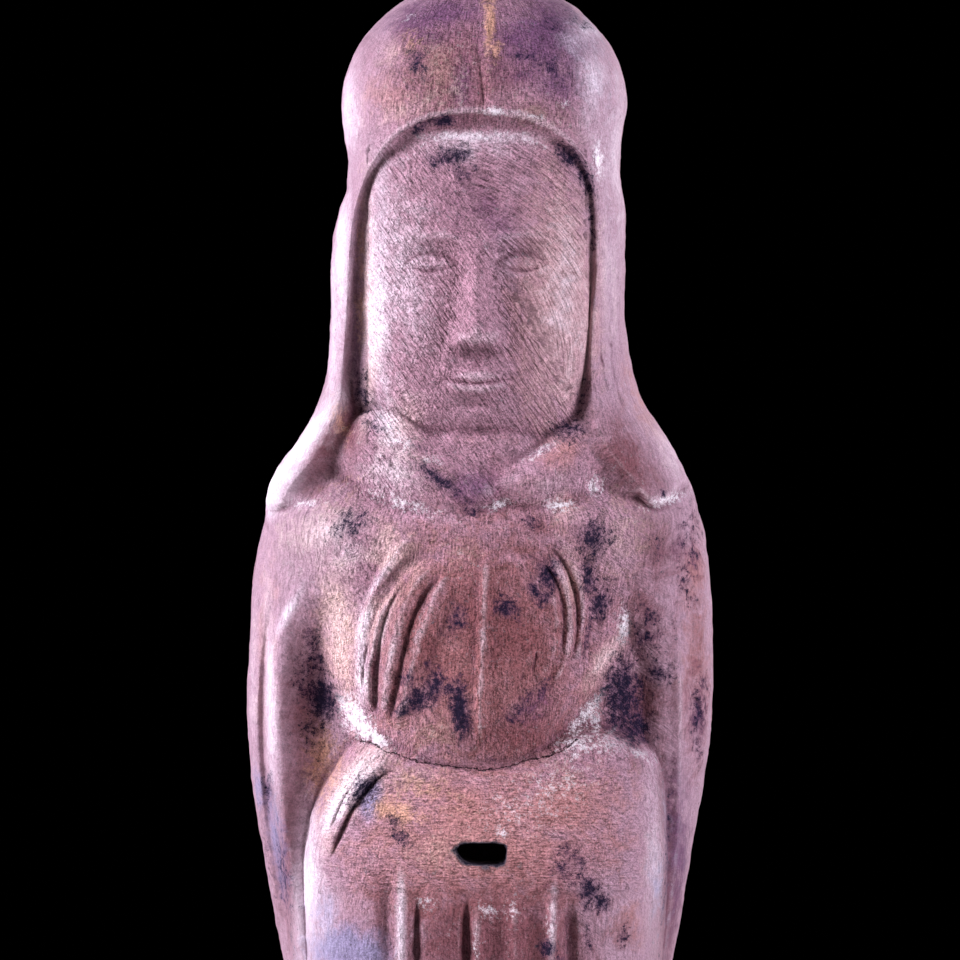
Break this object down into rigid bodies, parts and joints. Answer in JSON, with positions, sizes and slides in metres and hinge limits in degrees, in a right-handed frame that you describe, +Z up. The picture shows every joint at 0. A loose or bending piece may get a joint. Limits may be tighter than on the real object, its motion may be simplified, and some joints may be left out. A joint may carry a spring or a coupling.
{
  "type": "terracotta court lady figure",
  "caption": "Mould-made tomb figure of a standing court lady in a hooded cloak, hands joined in her sleeves over a blind slot, on a low slab.",
  "frame": {"origin": "centre of the figure's bounding box, on the flat underside of the slab it stands on", "axes": "+Z up, the figure faces -Y, +X is to the viewer's right (the figure's left hand side)"},
  "size_m": [0.126, 0.0928, 0.4995],
  "materials": {
    "fired_earthenware": "unglazed rose-brown fired clay, fine sandy grain, brush striations, dark manganese blotches and pale lime deposits"
  },
  "bodies": {
    "root": {"court_lady_figure": "fired_earthenware"}
  },
  "joints": []
}
